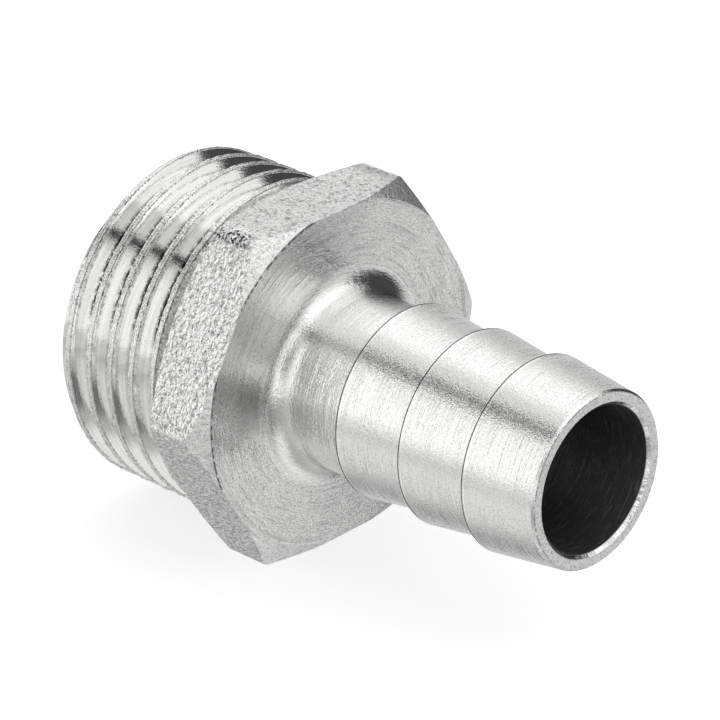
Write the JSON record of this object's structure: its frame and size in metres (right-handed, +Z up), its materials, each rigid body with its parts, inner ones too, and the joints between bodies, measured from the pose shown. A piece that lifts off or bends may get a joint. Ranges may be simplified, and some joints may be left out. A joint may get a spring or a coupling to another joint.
{
  "type": "hose barb tail",
  "caption": "Straight hose tail with a male parallel pipe thread, a spanner hexagon and a barbed spigot, bored through for water.",
  "frame": {"origin": "on the axis of the water way, at the shoulder where the hexagon meets the thread", "axes": "+X along the water way towards the hose, with the thread on the -X side; +Z up, so the fitting lies on one flat of its hexagon"},
  "size_m": [0.0344, 0.0248, 0.0216],
  "materials": {
    "nickel_plated_brass": "matt nickel plate: satin on the turned faces, blasted grain on the forged hexagon"
  },
  "bodies": {
    "root": {"hose_tail": "nickel_plated_brass"}
  },
  "joints": []
}
